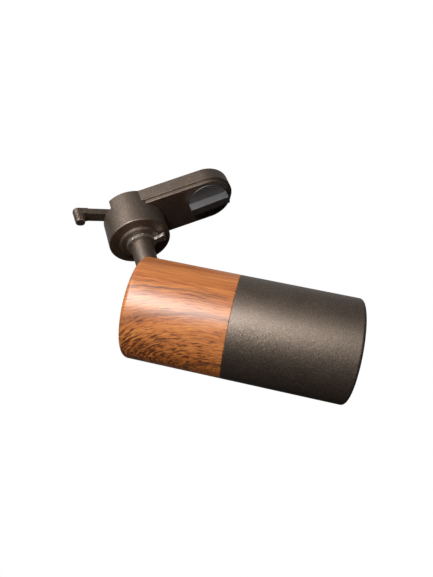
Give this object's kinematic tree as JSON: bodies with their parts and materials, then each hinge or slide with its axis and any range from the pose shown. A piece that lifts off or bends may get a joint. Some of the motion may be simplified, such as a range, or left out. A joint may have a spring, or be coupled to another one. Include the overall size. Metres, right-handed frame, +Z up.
{
  "type": "track spotlight",
  "caption": "Cylindrical LED spotlight head, wood-grain rear and textured brown front, tilting on a swivel stem from a lever-locked track adapter with selector knob.",
  "frame": {"origin": "on the adapter drum's axis, in the plane of the adapter's top face, which seats against the track", "axes": "+Z up into the track along the drum's axis, +X along the adapter's arm from drum to selector knob, Y across the track"},
  "size_m": [0.1427, 0.077, 0.1776],
  "materials": {
    "brown_coat": "fine sparkle-textured dark brown powder coat",
    "wood_grain": "satin wood-grain transfer film on aluminium",
    "black_moulding": "fine spark-eroded black insulator",
    "knob_moulding": "fine-textured dark grey",
    "brass": "stamped",
    "zinc_steel": "bright zinc plate",
    "steel_dark": "black oxide",
    "collar_metal": "dark coat worn bright at its edges",
    "heat_sink_metal": "clear anodised",
    "reflector_metal": "vacuum-metallised",
    "clear_glass": "polished",
    "phosphor": "yellow silicone over the emitters",
    "white_moulding": "moulded",
    "board_green": "solder-resist",
    "board_white": "white resist on aluminium",
    "capacitor_sleeve": "shrink sleeve",
    "ferrite": "sintered, with yellow tape",
    "chip_black": "moulded",
    "silicone": "soft",
    "black_rubber": "soft",
    "wire_brown": "extruded insulation",
    "wire_blue": "extruded insulation",
    "wire_green": "extruded insulation",
    "wire_red": "extruded insulation",
    "nylon": "natural"
  },
  "bodies": {
    "adapter": {"adapter_housing": "brown_coat", "arm_cover": "brown_coat", "track_insert": "black_moulding", "clamp_screws": "steel_dark", "deck_plate": "zinc_steel", "deck_screws": "zinc_steel", "terminal_block": "white_moulding", "terminal_screws": "zinc_steel", "wiper_contacts": "brass", "earth_springs": "brass", "adapter_leads": "wire_brown", "thrust_washer": "nylon"},
    "lever": {"lock_lever": "brown_coat", "lock_cam": "zinc_steel", "cam_screw": "zinc_steel"},
    "selector": {"selector_knob": "knob_moulding", "selector_rotor": "black_moulding", "slip_rings": "brass", "contact_blades": "brass", "rotor_screw": "zinc_steel"},
    "stem": {"stem_tube": "brown_coat", "stop_ring": "collar_metal", "stem_nut": "zinc_steel", "wave_washer": "zinc_steel", "pivot_tongue": "zinc_steel", "tongue_pins": "zinc_steel", "live_wire": "wire_brown", "neutral_wire": "wire_blue", "earth_wire": "wire_green"},
    "head": {"rear_housing": "wood_grain", "front_barrel": "brown_coat", "mounting_disc": "heat_sink_metal", "disc_screws": "zinc_steel", "pivot_bracket": "zinc_steel", "bracket_screws": "zinc_steel", "pivot_bolt": "zinc_steel", "pivot_nut": "zinc_steel", "pivot_washers": "zinc_steel", "friction_washers": "nylon", "wire_grommet": "black_rubber", "head_leads": "wire_blue", "board_standoffs": "nylon", "driver_board": "board_green", "board_screws": "zinc_steel", "transformer": "ferrite", "capacitors": "capacitor_sleeve", "driver_chips": "chip_black", "heat_sink": "heat_sink_metal", "heat_sink_screws": "zinc_steel", "thermal_pad": "silicone", "led_board": "board_white", "led_emitter": "phosphor", "led_holder": "white_moulding", "led_leads": "wire_red", "reflector": "reflector_metal", "lens": "clear_glass", "lens_gasket": "silicone", "glare_ring": "black_moulding"}
  },
  "joints": [
    {"name": "lever_turn", "type": "hinge", "parent": "adapter", "child": "lever", "pos_m": [0, 0, -0.0045], "axis": [0, 0, 1], "range_deg": [-73.5, 16.5]},
    {"name": "selector_turn", "type": "hinge", "parent": "adapter", "child": "selector", "pos_m": [0.0513, 0, -0.0084], "axis": [0, 0, 1], "range_deg": [-87.7, 92.3]},
    {"name": "stem_pan", "type": "hinge", "parent": "adapter", "child": "stem", "pos_m": [0, 0, -0.026], "axis": [0, 0, 1], "range_deg": [-240.5, 74.5]},
    {"name": "head_tilt", "type": "hinge", "parent": "stem", "child": "head", "pos_m": [0, 0, -0.0824], "axis": [0.1702, -0.9854, 0], "range_deg": [-59, 31]}
  ]
}
